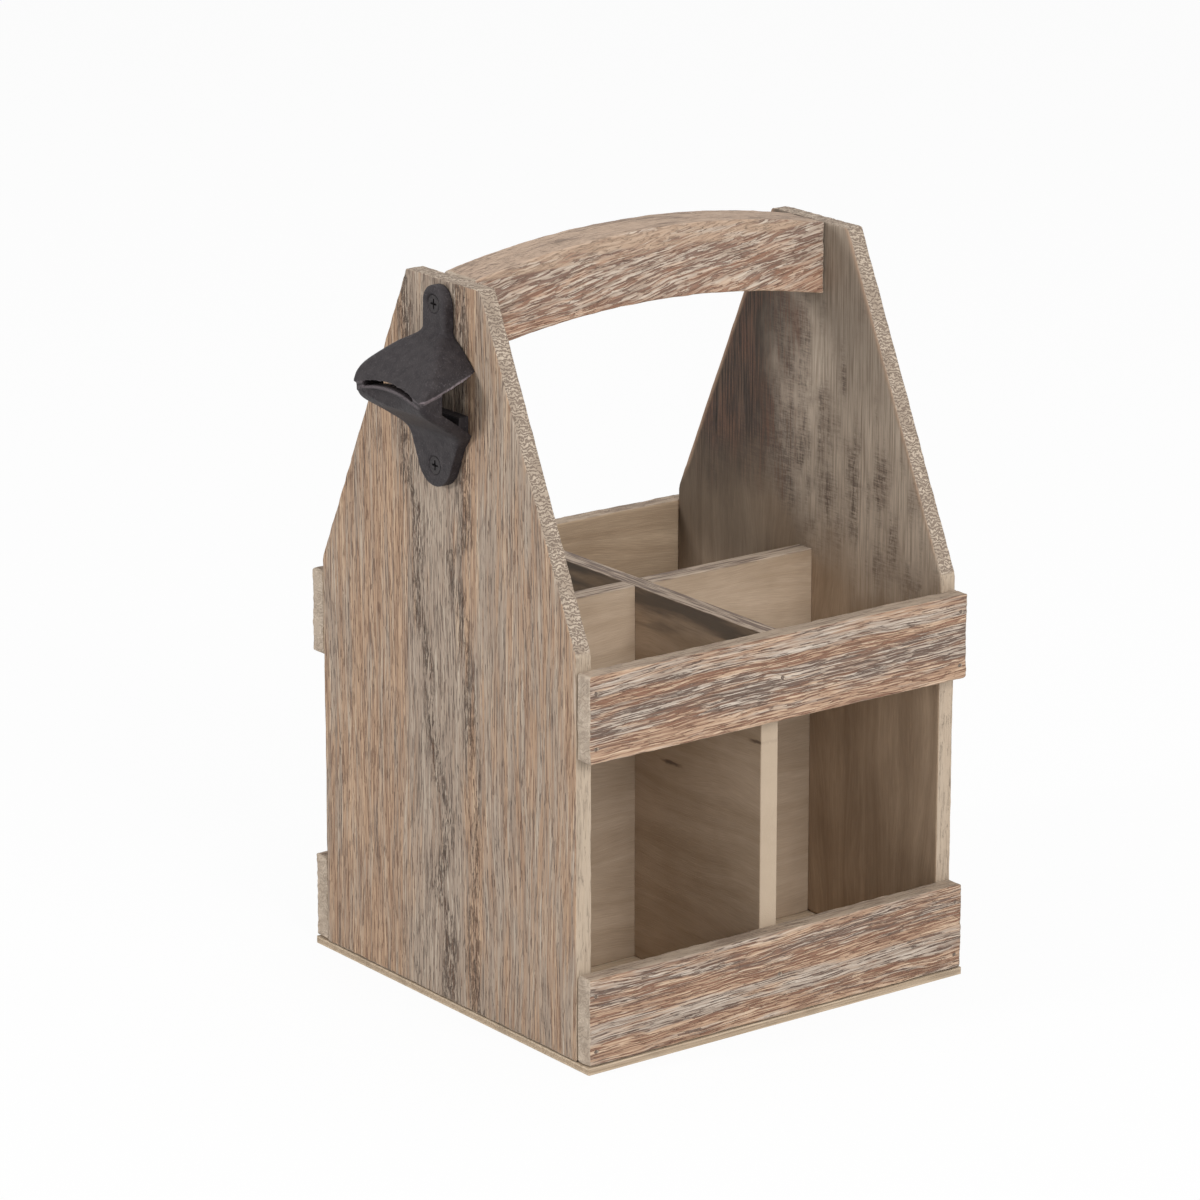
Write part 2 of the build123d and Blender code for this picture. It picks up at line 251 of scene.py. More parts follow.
def planed_finish(name, order, seed, knots=(), smear=0.0, painted_shade=0.0):
    """Planed pale wood with knots, darkened low down by painted shade, and smeared grey high up; its top edge
    is grey and lined.
    """
    bench = new_finish(name)
    a, b, c = bench.grain_lines(bench.place, order)
    colour, height = planed(bench, a, b, c, seed, seen(187, 166, 144), seen(158, 137, 114), 0.8)
    for knot_a, knot_b, size in knots:
        slip = (a - knot_a) * 0.05 + (b - knot_b) + bench.streak(a, b, c, seed + 5.0, 6.0, 3.0) * 3.0 - 1.5
        away = ((a - knot_a) ** 2.0 / 26.0 + slip ** 2.0 * 1.6) ** 0.5
        colour = bench.blend(away.between(size, size * 0.25) * 0.75, colour, seen(72, 54, 44))
    height_up = bench.part(bench.place, "z") * 1000.0
    under_top = height_up.between(divider_top - 32.0, divider_top)
    wash = bench.streak(a, b, c, seed + 6.0, 40.0, 6.0, 3.0) * 0.6 + under_top * 0.4
    colour = bench.blend(wash.between(0.52, 0.72) * smear, colour, seen(98, 92, 86))
    # Painted shade: the wood is darker low down in the bays, where the slats above shade them.
    shade_low_in_bays = height_up.between(divider_top - 5.0, divider_top - 100.0)
    colour = bench.shade(colour, 1.0 - shade_low_in_bays * painted_shade)
    # The edges: the top one is grey-beige and lined, the front one paler
    rim = height_up.between(divider_top - 0.8, divider_top - 0.1)
    lines = bench.streak(a, b, c, seed + 4.0, 18.0, 0.9, 2.0, 0.6)
    edge = bench.blend(lines.between(0.42, 0.6), seen(184, 166, 148), seen(112, 96, 86))
    colour = bench.blend(rim * 0.9, colour, edge)
    normal = bench.put("ShaderNodeNewGeometry", out="Normal")
    front = abs(bench.part(normal, order[0])).between(0.5, 0.8)
    colour = bench.blend(front * 0.8, colour, seen(181, 163, 142))
    return apply_finish(bench, colour, height * 0.1 + 0.66, height + lines * rim * 2.0, 0.0002)


dress("long_divider", planed_finish("long_divider_finish", "xzy", 11.0, painted_shade=0.14))
dress("cross_divider", planed_finish("cross_divider_finish", "yzx", 17.0, cross_knots, smear=0.8))

# End panels: upright boards 8 mm thick with their grain standing, sawn to shoulders that lean in to the top.
# The outer face is brushed until the soft wood lies lower than the hard, stained, and washed with grey.
shoulder_level, panel_half_width = 177.0, 91.0
panel_top, top_half_width = 316.0, 26.0
slope = (panel_half_width - top_half_width) / (panel_top - shoulder_level)
handle_brads = [(311.0, 7.5), (297.0, -6.0)]
arris_gaps = (0.2, 0.5, 0.95, 1.6, 2.4)
dent_gaps = (-1.5, -1.1, -0.85, -0.45, 0.0, 0.45, 0.85, 1.1, 1.5)
dent_rim, dent_floor, dent_depth = 1.15, 0.8, 1.25


def ruled(low, high, step, marks=()):
    """Places of the lines that rule a blank one way: even steps, closer at both ends and at marks."""
    fine = {low, high}
    for gap in arris_gaps:
        fine |= {low + gap, high - gap}
    for mark in marks:
        fine |= {mark + gap for gap in dent_gaps}
    count = round((high - low) / step)
    even = [low + (high - low) * k / count for k in range(1, count)]
    return sorted(fine | {v for v in even if min(abs(v - f) for f in fine) > step * 0.4})


def blank(name, rules):
    """Rough board: a closed box whose faces are ruled by three lists of lines, in millimetres."""
    index, corners, faces = {}, [], []

    def corner(key):
        if key not in index:
            index[key] = len(corners)
            corners.append([rules[axis][key[axis]] / 1000.0 for axis in range(3)])
        return index[key]

    for axis in range(3):
        u, v = (axis + 1) % 3, (axis + 2) % 3
        for end in (0, len(rules[axis]) - 1):
            for i in range(len(rules[u]) - 1):
                for j in range(len(rules[v]) - 1):
                    keys = []
                    for iu, jv in ((i, j), (i + 1, j), (i + 1, j + 1), (i, j + 1)):
                        key = [0, 0, 0]
                        key[axis], key[u], key[v] = end, iu, jv
                        keys.append(corner(tuple(key)))
                    faces.append(keys if end else keys[::-1])
    mesh = bpy.data.meshes.new(name)
    mesh.from_pydata(corners, [], faces)
    piece = bpy.data.objects.new(name, mesh)
    bpy.context.collection.objects.link(piece)
    return piece


def figure(bench, a, b, c, seed, plan):
    """Growth of a board: bent lines, soft share, strands, hollow dashes, threads, turns of growth, seams."""
    length = plan["dash"]
    drift = bench.streak(a, b, c, seed, 120.0, 30.0, 1.0) - 0.5
    wave = bench.streak(a, b, c, seed + 1.0, plan["bend"], 9.0, 2.0) - 0.5
    bent = b + drift * plan["drift"] + wave * plan["wave"] + a * plan["slant"]
    strand = bench.streak(a, bent, c, seed + 2.0, length * 4.5, 1.5, 2.0, 0.6)
    patch = bench.streak(a, bent, c, seed + 3.0, 38.0, 4.0, 2.0)
    thread = bench.streak(a, bent, c, seed + 5.0, plan["run"], plan["line"], 3.0, 0.6)
    beat = (bent / plan["turn"] + strand * 3.0 + patch * 2.0).turns()
    soft = bench.profile(b + drift * 6.0, plan["bands"]) + (patch - 0.5) * plan["patches"]
    dash = bench.streak(a, bent, c, seed + 4.0, length, plan["gap"], 3.0, 0.6)
    dash = (dash + (beat - 0.5) * plan["turning"] + soft * plan["softness"]).between(0.60, 0.655)
    seam = dash * 0.0
    split = bench.streak(a, b, c, seed + 16.0, 6.0, 0.9, 4.0, 0.75) + (patch - 0.5) * 0.4
    for line, half, force in plan["seams"]:
        away = bent - bench.profile(a, line) * 60.0 + 30.0
        seam = seam.most(split.between(0.50, 0.60) * abs(away).between(half, 1.5) * force)
    return bent, soft, strand, dash, thread, beat, seam


def brush_tree(name, order, plan, dimples=()):
    """Shape of a brushed board, from its ruled blank: outline, worn arrises, and hollows along the grain."""
    tree = bpy.data.node_groups.new(name, "GeometryNodeTree")
    tree.interface.new_socket(name="Board", in_out="OUTPUT", socket_type="NodeSocketGeometry")
    for label, kind in (
        ("Blank", "Geometry"),
        ("Low Corner", "Vector"),
        ("High Corner", "Vector"),
        ("Shoulder Level", "Float"),
        ("Top Half Width", "Float"),
        ("Arch", "Float"),
        ("Outward", "Vector"),
        ("Wear", "Float"),
        ("Depth", "Float"),
        ("Seed", "Float"),
        ("Finish", "Material"),
    ):
        tree.interface.new_socket(name=label, in_out="INPUT", socket_type=f"NodeSocket{kind}")
    bench = Bench(tree)
    given = tree.nodes.new("NodeGroupInput")
    take = {socket.name: Term(bench, socket) for socket in given.outputs if socket.name}
    place = bench.grain_lines(bench.put("GeometryNodeInputPosition"), "xyz")
    low, high = bench.grain_lines(take["Low Corner"], "xyz"), bench.grain_lines(take["High Corner"], "xyz")
    half = [(h - l) * 0.5 for l, h in zip(low, high)]
    middle = [(h + l) * 0.5 for l, h in zip(low, high)]
    away = [p - m for p, m in zip(place, middle)]
    rise = (place[2] - take["Shoulder Level"] * 1000.0).most(0.0)
    run = (high[2] - take["Shoulder Level"] * 1000.0).most(1.0)
    narrow = rise / run * (half[1] - take["Top Half Width"] * 1000.0).most(0.0)
    limit = [half[0], half[1] - narrow, half[2]]
    side = [bench.put("ShaderNodeMath", {0: t}, operation="SIGN") for t in away]
    flat = [abs(t).least(most) for t, most in zip(away, limit)]
    # Worn arrises: what stands within the ease of two or more faces is drawn in to a round
    held = [m + t * s for m, t, s in zip(middle, flat, side)]
    wear = bench.streak(*held, 2.0, 7.0, 7.0, 2.0)
    ease = wear * take["Wear"] + 0.35
    near = [(ease - (most - t)).most(0.0) for t, most in zip(flat, limit)]
    reach = (near[0] ** 2.0 + near[1] ** 2.0 + near[2] ** 2.0) ** 0.5
    pull = (ease / reach.most(0.001)).least(1.0)
    eased = [t - n * (1.0 - pull) for t, n in zip(flat, near)]
    arris = (1.0 - pull).between(0.0, 0.22)
    bow = (1.0 - (away[0] / half[0]) ** 2.0) * take["Arch"] * 1000.0
    final = [m + t * s for m, t, s in zip(middle, eased, side)]
    final[2] = final[2] + bow
    metres = [t / 1000.0 for t in final]
    moved = bench.put("ShaderNodeCombineXYZ", dict(enumerate(metres)))
    shaped = bench.put("GeometryNodeSetPosition", {"Geometry": take["Blank"], "Position": moved})
    marked = bench.put(
        "GeometryNodeStoreNamedAttribute",
        {"Geometry": shaped, "Name": "arris", "Value": arris},
        data_type="FLOAT",
        domain="POINT",
    )
    merged = bench.put("GeometryNodeMergeByDistance", {"Geometry": marked, "Distance": 0.00002})
    # Brushing: deep on the outward face, shallow on the others, ragged where the board is sawn
    normal = bench.put("GeometryNodeInputNormal")
    a, b, c = bench.grain_lines(bench.put("GeometryNodeInputPosition"), order)
    bent, soft, *_, seam = figure(bench, a, b, c, take["Seed"], plan)
    open_face = bench.along(normal, take["Outward"]).between(0.3, 0.9)
    swell = bench.streak(a, bent, c, take["Seed"] + 17.0, 50.0, 2.4, 1.0)
    brushed = soft.between(0.2, 1.2) * 0.5 + swell.between(0.65, 0.35) * 0.4 + seam * 0.6
    brushed = brushed * (open_face * 0.85 + 0.15)
    narrow_face = abs(bench.part(normal, order[2])).between(0.8, 0.4)
    sway = bench.streak(a, b, c, take["Seed"] + 5.0, 24.0, 16.0, 2.0) * 1.3
    grit = bench.streak(a, b, c, take["Seed"] + 6.0, 8.0, 5.0, 2.0) * 0.9
    sawn_face = abs(bench.part(normal, order[0])).between(0.2, 0.35)
    hollow = brushed + narrow_face * (sway + grit * (sawn_face * 0.8 + 0.2))
    worn = bench.put("GeometryNodeInputNamedAttribute", {"Name": "arris"}, data_type="FLOAT")
    hollow = hollow * (1.0 - worn * 0.8)
    for mark_a, mark_b in dimples:
        spot = ((a - mark_a) ** 2.0 + (b - mark_b) ** 2.0) ** 0.5
        hollow = hollow.most(spot.between(dent_rim, dent_floor) * open_face * dent_depth)
    inward = bench.put(
        "ShaderNodeVectorMath", {0: normal, "Scale": hollow * take["Depth"] * -1.0}, operation="SCALE"
    )
    brushed_board = bench.put("GeometryNodeSetPosition", {"Geometry": merged, "Offset": inward})
    smooth = bench.put("GeometryNodeSetShadeSmooth", {"Geometry": brushed_board})
    whole = bench.put("GeometryNodeRealizeInstances", {"Geometry": smooth})
    done = bench.put("GeometryNodeSetMaterial", {"Geometry": whole, "Material": take["Finish"]})
    tree.links.new(done.socket, tree.nodes.new("NodeGroupOutput").inputs["Board"])
    return tree


def work(piece, tree, values):
    """Runs a piece through a shape tree with named values, and keeps the result as its plain mesh."""
    step = piece.modifiers.new(tree.name, "NODES")
    step.node_group = tree
    for item in tree.interface.items_tree:
        if item.in_out == "INPUT" and item.name in values:
            step[item.identifier] = values[item.name]
    graph = bpy.context.evaluated_depsgraph_get()
    mesh = bpy.data.meshes.new_from_object(piece.evaluated_get(graph))
    piece.modifiers.clear()
    piece.data = mesh
    return piece


def hand_over(piece, node):
    """Makes a piece stand for a CAD node: hangs it under the root body and hides the node."""
    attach(piece, "root")
    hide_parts(node)


def brushed_finish(name, order, seed, plan, outward, inside):
    """Brushed, stained and washed wood. Inside gives the look of the face that turns away from outward."""
    bench = new_finish(name)
    a, b, c = bench.grain_lines(bench.place, order)
    bent, _, strand, dash, thread, beat, seam = figure(bench, a, b, c, seed, plan)
    normal = bench.put("ShaderNodeNewGeometry", out="Normal")
    lengthwise = abs(bench.part(normal, order[0]))
    edgewise = abs(bench.part(normal, order[1]))
    arris = bench.put("ShaderNodeAttribute", out="Fac", attribute_name="arris")
    # Ridges: brown wood where the stain took, under a wash of grey
    tone = (thread - 0.5) * plan["thread"] + (strand - 0.5) * plan["strand"]
    tone = tone + (0.5 - beat) * plan["beat"] + 0.5
    cloud = bench.streak(a, bent, c, seed + 7.0, plan["cloud"], 4.5, 3.0)
    lace = bench.streak(a, bent, c, seed + 8.0, plan["cloud"] * 0.6, 1.2, 3.0, 0.6)
    warm = cloud * 0.55 + lace * 0.45 + (bench.profile(b, plan["warmth"]) - 0.5) * 0.34
    washed, stained = bench.tones(tone, plan["grey"]), bench.tones(tone, plan["brown"])
    colour = bench.blend(warm.between(0.40, 0.60), washed, stained)
    fleck = bench.streak(a, bent, c, seed + 9.0, 6.0, 0.5, 1.0)
    colour = bench.blend(fleck.between(0.60, 0.72) * 0.55, colour, plan["fleck"])
    hollow = bench.blend(warm.between(0.40, 0.62), plan["dark"], plan["rust"])
    colour = bench.blend(dash * plan["stain"], colour, bench.shade(hollow, thread * 0.8 + 0.6))
    crack = bench.blend(lace.between(0.4, 0.6), seen(76, 61, 52), seen(110, 82, 65))
    colour = bench.blend(seam * 0.9, colour, bench.shade(crack, thread + 0.5))
    # Worn arrises show fresh wood, here and there washed over
    bare = bench.streak(a, b, c, seed + 10.0, 22.0, 3.0, 2.0)
    colour = bench.blend(arris * bare.between(0.35, 0.6) * 0.8, colour, plan["fresh"])
    # Narrow faces are planed and pale, with dark lines here and there
    lines = bench.streak(a, c, b, seed + 11.0, 16.0, 0.8, 3.0, 0.6)
    stain = bench.streak(a, c, b, seed + 12.0, 40.0, 9.0, 2.0)
    lined = (lines + (stain - 0.5) * 0.5).between(0.48, 0.66) * plan["lined"]
    narrow = bench.blend(lined, plan["side"], seen(118, 101, 88))
    colour = bench.blend(edgewise.between(0.6, 0.8) * 0.9, colour, narrow)
    # Sawn ends: fine crooked lines, mostly across the thickness
    crook = bench.streak(a, b, c, seed + 13.0, 3.2, 3.2, 3.0, 0.6)
    rough = bench.streak(a, b, c, seed + 14.0, 11.0, 7.0, 2.0)
    ridge = ((a + b * 0.6) / 2.0 + c * 0.1 + crook * 4.5).turns()
    ridge = (ridge + (rough - 0.5) * 1.2).between(0.4, 0.75)
    sawn = bench.blend(rough.between(0.35, 0.65), *plan["sawn"])
    sawn = bench.blend(ridge * plan["crooked"], sawn, seen(108, 92, 80))
    end = lengthwise.between(0.25, 0.4)
    colour = bench.blend(end * 0.95, colour, sawn)
    away = bench.along(normal, outward).between(-0.4, -0.9)
    plain, plain_height = inside(bench, a, b, c, seed + 15.0)
    colour = bench.blend(away, colour, plain)
    height = ((thread - 0.5) * 0.5 + (strand - 0.5) * 0.4 - dash * 0.6 - seam) * (1.0 - away.most(end))
    height = height + (plain_height - 0.45) * away * 0.5
    return apply_finish(bench, colour, 0.76 - dash * 0.06, height - ridge * end * 0.5, 0.0004)


def smeared_inside(bench, a, b, c, seed):
    """Inner face of an end panel: planed and brown, washed grey and smeared charcoal over the dividers."""
    colour, height = planed(bench, a, b, c, seed, seen(178, 155, 131), seen(148, 126, 104))
    edge = bench.streak(a, b, c, seed + 4.0, 26.0, 24.0, 3.0) * 44.0 - b.between(-30.0, 40.0) * 30.0
    upper = (a + edge).between(166.0, 210.0)
    upright = bench.streak(a, b, c, seed + 5.0, 34.0, 1.0, 4.0, 0.65)
    level = bench.streak(b, a, c, seed + 6.0, 6.0, 0.7, 3.0, 0.6)
    speck = bench.streak(a, b, c, seed + 8.0, 4.0, 0.6, 3.0, 0.7)
    patches = bench.streak(a, b, c, seed + 7.0, 30.0, 16.0, 4.0, 0.6)
    stained = (b + patches * 44.0 + upright * 50.0).between(32.0, 84.0)
    grey = bench.blend(upright.between(0.32, 0.68), seen(158, 142, 126), seen(222, 206, 187))
    brown = bench.blend(upright.between(0.38, 0.62), seen(16, 11, 8), seen(92, 74, 62))
    # Painted light and shade by height: the wash is painted a little lighter just above the dividers and
    # darker towards the top.
    painted_light_by_height = bench.profile(a, [(170, 1.13), (225, 1.07), (262, 0.76), (285, 0.64), (316, 0.58)])
    washed = bench.shade(bench.blend(stained, grey, brown), painted_light_by_height)
    # Darker towards +b between 110 and 165 mm up: partly the wood's browner tone, partly painted shadow cast
    # by the opposite panel.
    painted_shade = 1.0 - b.between(-10.0, 50.0) * a.between(110.0, 165.0) * 0.66
    colour = bench.blend(upper * 0.9, bench.shade(colour, painted_shade), washed)
    column = bench.streak(a, b, c, seed + 9.0, 60.0, 5.0, 3.0, 0.6)
    wiped = column * 0.4 + patches * 0.6 + (b.between(-50.0, 30.0) - 0.7) * 0.12
    wiped = wiped + bench.profile(a, [(170, 0.05), (200, 0.07), (235, 0.03), (265, -0.02), (316, -0.02)])
    smear = (upright * 0.3 + level * 0.35 + speck * 0.35).between(0.43, 0.57)
    smear = smear * wiped.between(0.44, 0.63) * upper
    colour = bench.blend(smear * 0.75, colour, seen(62, 51, 46))
    rust = (upright * 0.6 + patches * 0.4).between(0.49, 0.60) * (stained * 0.5 + 0.5) * upper
    # Bare wood shows in a thin strip inside each sloping edge
    from_slope = panel_half_width - (a - shoulder_level).most(0.0) * slope - abs(b)
    above_shoulder = a.between(shoulder_level + 1.0, shoulder_level + 13.0)
    bare = (from_slope + upright * 3.0).between(5.0, 2.6) * above_shoulder
    colour = bench.blend(bare * 0.6, colour, seen(176, 146, 122))
    return bench.blend(rust * 0.45, colour, seen(108, 75, 58)), height


def plain_inside(bench, a, b, c, seed):
    """Inner face of a slat or back of a handle: planed, thinly washed."""
    return planed(bench, a, b, c, seed, seen(182, 160, 135), seen(156, 134, 110))


left_seam = [
    (0, 0.48), (20, 0.48), (40, 0.49), (53, 0.62), (65, 0.53), (84, 0.48), (100, 0.58), (125, 0.68),
    (150, 0.71), (180, 0.84), (200, 0.82), (218, 0.83), (226, 0.96), (316, 0.98),
]
right_seam = [
    (0, 0.2), (30, 0.2), (53, 0.19), (67, 0.16), (85, 0.16), (116, 0.17), (141, 0.2), (166, 0.27),
    (182, 0.31), (199, 0.37), (209, 0.24), (221, 0.26), (234, 0.28), (316, 0.3),
]
panel_plan = {
    # Figure, in millimetres: bends of the grain, hollow dashes, threads and turns of growth
    "drift": 9.0, "wave": 0.9, "bend": 40.0, "slant": 0.0, "dash": 9.0, "gap": 0.65, "line": 0.75,
    "run": 52.0, "turn": 1.7, "cloud": 60.0,
    # Shares: how strongly each of them shows
    "turning": 0.12, "softness": 0.115, "patches": 0.9, "stain": 0.62, "beat": 0.15, "thread": 1.35,
    "strand": 0.8, "lined": 0.3, "crooked": 0.8,
    "bands": [(-91, 0.1), (-30, 0.1), (-14, 0.25), (25, 0.3), (45, 0.35), (91, 0.3)],
    "warmth": [
        (-91, 0.55), (-60, 0.45), (-28, 0.4), (-18, 0.6), (-10, 0.2), (8, 0.15), (24, 0.3), (40, 0.7),
        (70, 0.6), (91, 0.5),
    ],
    "seams": [(left_seam, 7.5, 0.95), (right_seam, 7.0, 0.85)],
    "grey": [seen(122, 106, 92), seen(148, 131, 116), seen(164, 148, 132), seen(186, 173, 157)],
    "brown": [seen(122, 94, 76), seen(153, 125, 102), seen(173, 144, 118), seen(192, 166, 140)],
    "fleck": seen(108, 80, 66), "dark": seen(84, 68, 60), "rust": seen(116, 84, 66),
    "fresh": seen(190, 166, 140), "side": seen(184, 167, 147),
    "sawn": (seen(158, 142, 126), seen(194, 178, 160)),
}
panel_tree = brush_tree("brushed panel", "zyx", panel_plan, handle_brads)
for end, sign, seed in (("near", -1.0, 3.0), ("far", 1.0, 41.0)):
    node = f"{end}_end_panel"
    low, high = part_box(node)
    low_mm, high_mm = low * 1000, high * 1000
    panel = blank(f"brushed_{node}", [
        ruled(low_mm.x, high_mm.x, 1.1),
        ruled(low_mm.y, high_mm.y, 0.65, [m[1] for m in handle_brads]),
        ruled(low_mm.z, high_mm.z, 2.5, [m[0] for m in handle_brads]),
    ])
    finish = brushed_finish(f"{node}_finish", "zyx", seed, panel_plan, (sign, 0.0, 0.0), smeared_inside)
    work(panel, panel_tree, {
        "Low Corner": tuple(low), "High Corner": tuple(high), "Shoulder Level": shoulder_level / 1000,
        "Top Half Width": top_half_width / 1000, "Arch": 0.0, "Outward": (sign, 0.0, 0.0), "Wear": 1.6,
        "Depth": 0.00045, "Seed": seed, "Finish": finish,
    })
    hand_over(panel, node)

# Slats: four boards nailed over the edges of the panels, two in front and two behind, grain lying.
# Brushed and washed like the panels, with heavier dark dashes in the middle and pale worn edges.
end_x, brad_low, brad_high = 96.0, 6.5, 8.0
no_shoulders = 1.0  # metres, over every straight board
slat_rows = {
    "lower": {
        "bands": [
            (0, 0), (4, 0.35), (9, 0.75), (12, 0.15), (17, 0.2), (21, 0.8), (29, 0.85), (34, 0.5), (38, 0),
        ],
        "warmth": [(0, 0.5), (4, 0.7), (8, 0.75), (12, 0.25), (17, 0.35), (21, 0.85), (28, 0.5), (38, 0.6)],
    },
    "upper": {
        "bands": [(0, 0), (4, 0.3), (8, 0.5), (11, 0.85), (26, 0.85), (30, 0.35), (34, 0), (38, 0.1)],
        "warmth": [
            (0, 0.75), (4, 0.8), (9, 0.65), (13, 0.35), (22, 0.4), (27, 0.85), (30, 0.3), (35, 0.5),
            (38, 0.8),
        ],
    },
}
for side, sign in (("front", -1.0), ("back", 1.0)):
    for row, seed in (("lower", 5.0), ("upper", 9.0)):
        node = f"{side}_{row}_slat"
        low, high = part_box(node)
        low_mm, high_mm = low * 1000, high * 1000
        plan = {
            name: [(low_mm.z + place, share) for place, share in stops]
            for name, stops in slat_rows[row].items()
        }
        plan |= {
            "drift": 9.0, "wave": 2.0, "bend": 22.0, "slant": -0.03, "dash": 9.0, "gap": 0.6, "line": 0.7,
            "run": 22.0, "turn": 1.25, "cloud": 36.0, "seams": [],
            "turning": 0.2, "softness": 0.14, "patches": 1.2, "stain": 0.85, "beat": 0.35, "thread": 1.6,
            "strand": 1.2, "lined": 0.8, "crooked": 0.25,
            "grey": [seen(132, 115, 102), seen(158, 142, 128), seen(177, 162, 148), seen(198, 185, 171)],
            "brown": [seen(128, 98, 80), seen(162, 131, 108), seen(182, 152, 127), seen(202, 177, 152)],
            "fleck": seen(122, 90, 76), "dark": seen(94, 74, 64), "rust": seen(130, 93, 74),
            "fresh": seen(212, 184, 152), "side": seen(166, 149, 131),
            "sawn": (seen(170, 154, 137), seen(192, 176, 158)),
        }
        levels = (low_mm.z + brad_low, high_mm.z - brad_high, (low_mm.z + high_mm.z) / 2)
        heads = [(x, z) for x in (-end_x, end_x) for z in levels[:2]] + [(0.0, levels[2])]
        slat = blank(f"brushed_{node}", [
            ruled(low_mm.x, high_mm.x, 2.4, (-end_x, 0.0, end_x)),
            ruled(low_mm.y, high_mm.y, 1.0),
            ruled(low_mm.z, high_mm.z, 0.32, levels),
        ])
        seed = seed + (30.0 if sign > 0 else 0.0)
        finish = brushed_finish(f"{node}_finish", "xzy", seed, plan, (0.0, sign, 0.0), plain_inside)
        work(slat, brush_tree(f"brushed {node}", "xzy", plan, heads), {
            "Low Corner": tuple(low), "High Corner": tuple(high), "Shoulder Level": no_shoulders,
            "Top Half Width": 0.0, "Arch": 0.0, "Outward": (0.0, sign, 0.0), "Wear": 2.4,
            "Depth": 0.0005, "Seed": seed, "Finish": finish,
        })
        hand_over(slat, node)

# Handle: a thick board between the panels, sawn to the same arch above and below, brushed in front and
# behind and sanded on top. Its arrises are rounded for the hand.
low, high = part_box("handle")
arch = 10.0
low_mm, high_mm = low * 1000, high * 1000
flat_top = high_mm.z - arch
handle_plan = dict(
    plan,
    wave=3.0, slant=-0.16, dash=7.0, gap=0.8, line=0.85, run=16.0, turn=1.6, cloud=26.0,
    turning=0.1, softness=0.12, patches=1.0, beat=0.2, thread=2.1, lined=0.9,
    bands=[(284, 0.1), (290, 0.4), (300, 0.8), (318, 0.8), (326, 0.5)],
    warmth=[(284, 0.95), (292, 0.75), (300, 0.4), (316, 0.25), (326, 0.2)],
    brown=[seen(140, 108, 90), seen(166, 132, 110), seen(184, 152, 129), seen(198, 174, 152)],
    grey=[seen(142, 122, 106), seen(168, 149, 133), seen(187, 170, 154), seen(203, 189, 173)],
    dark=seen(118, 90, 77), rust=seen(146, 108, 87), fresh=seen(184, 157, 134), side=seen(183, 159, 139),
)
handle = blank("brushed_handle", [
    ruled(low_mm.x, high_mm.x, 1.6),
    ruled(low_mm.y, high_mm.y, 0.8),
    ruled(low_mm.z, flat_top, 0.32),
])
finish = brushed_finish("handle_finish", "xzy", 21.0, handle_plan, (0.0, 0.0, 1.0), plain_inside)
work(handle, brush_tree("brushed handle", "xzy", handle_plan), {
    "Low Corner": tuple(low), "High Corner": (high.x, high.y, flat_top / 1000),
    "Shoulder Level": no_shoulders, "Top Half Width": 0.0, "Arch": arch / 1000,
    "Outward": (0.0, -1.0, 0.0), "Wear": 2.2, "Depth": 0.00045, "Seed": 21.0, "Finish": finish,
})
hand_over(handle, "handle")

# Brads: headless wire nails, driven through the slats into the panels and the cross divider, through the
# panels into the handle, and up through the base. Their heads lie sunk in small dents.
wire = new_finish("brad_wire", metallic=0.3, specular=0.4)
a, b, c = wire.grain_lines(wire.place, "xyz")
rust = wire.streak(a, b, c, 1.0, 0.6, 0.6, 3.0)
colour = wire.blend(rust.between(0.4, 0.65), seen(122, 110, 100), seen(92, 70, 56))
brad_wire = apply_finish(wire, colour, rust * 0.3 + 0.45, rust, 0.00005)
for node in sorted(boards):
    if node.endswith("_brads"):
        dress(node, brad_wire)

# Bottle opener: one iron casting with a lug at each end, sand-cast, blackened and worn along its rims.
# The skin is rough and its arrises are soft, as they come from the mould.
casting = new_finish("casting_finish", metallic=0.35, specular=0.35)
a, b, c = casting.grain_lines(casting.place, "xyz")
pitted = casting.streak(a, b, c, 1.0, 0.8, 0.8, 4.0, 0.6)
lumps = casting.streak(a, b, c, 2.0, 3.5, 3.5, 3.0)
colour = casting.blend(lumps.between(0.3, 0.7), seen(39, 34, 36), seen(52, 47, 48))
colour = casting.blend(pitted.between(0.54, 0.70) * 0.6, colour, seen(88, 82, 84))
# Worn bright: the hood's rim, broad at the sides and thin in front. The ridge of the lip under it is a
# painted highlight, its edge catching the light.
hood_half_width, tip = 27.0, -129.0
rim_level, rim_slope, rim_arch = 270.6, 0.317, 4.6
lip_level, lip_arch = 268.2, 5.4
arch = 1.0 - (b / hood_half_width) ** 2.0
over_rim = c - (a - tip) * rim_slope - rim_level - arch * rim_arch
at_side = abs(b).between(22.5, 24.5)
rim = over_rim.between(at_side * 1.0 + 0.6, at_side * 0.8 + 0.1) * over_rim.between(-1.2, -0.6)
over_lip = abs(c - lip_level - arch * lip_arch)
ridge = over_lip.between(1.0, 0.4) * a.between(tip + 4.5, tip + 3.0) * abs(b).between(23.0, 20.0)
worn_rim_and_ridge_highlight = (rim * (at_side * 0.65 + 0.35)).most(ridge * 0.4) * pitted.between(0.3, 0.5)
colour = casting.blend(worn_rim_and_ridge_highlight, colour, seen(118, 108, 111))
iron = apply_finish(casting, colour, pitted * 0.25 + 0.46, pitted * 0.8 + lumps, 0.0004)
opener = bpy.data.objects.new("cast_opener", boards["bottle_opener"].data.copy())
bpy.context.collection.objects.link(opener)
opener.modifiers.new("weld", "WELD").merge_threshold = 0.00002
skin = opener.modifiers.new("skin", "REMESH")
skin.mode = "VOXEL"
skin.voxel_size = 0.0004
soften = opener.modifiers.new("soften", "SMOOTH")
soften.factor, soften.iterations = 0.5, 5
cast_tree = bpy.data.node_groups.new("cast skin", "GeometryNodeTree")
cast_tree.interface.new_socket(name="Casting", in_out="OUTPUT", socket_type="NodeSocketGeometry")
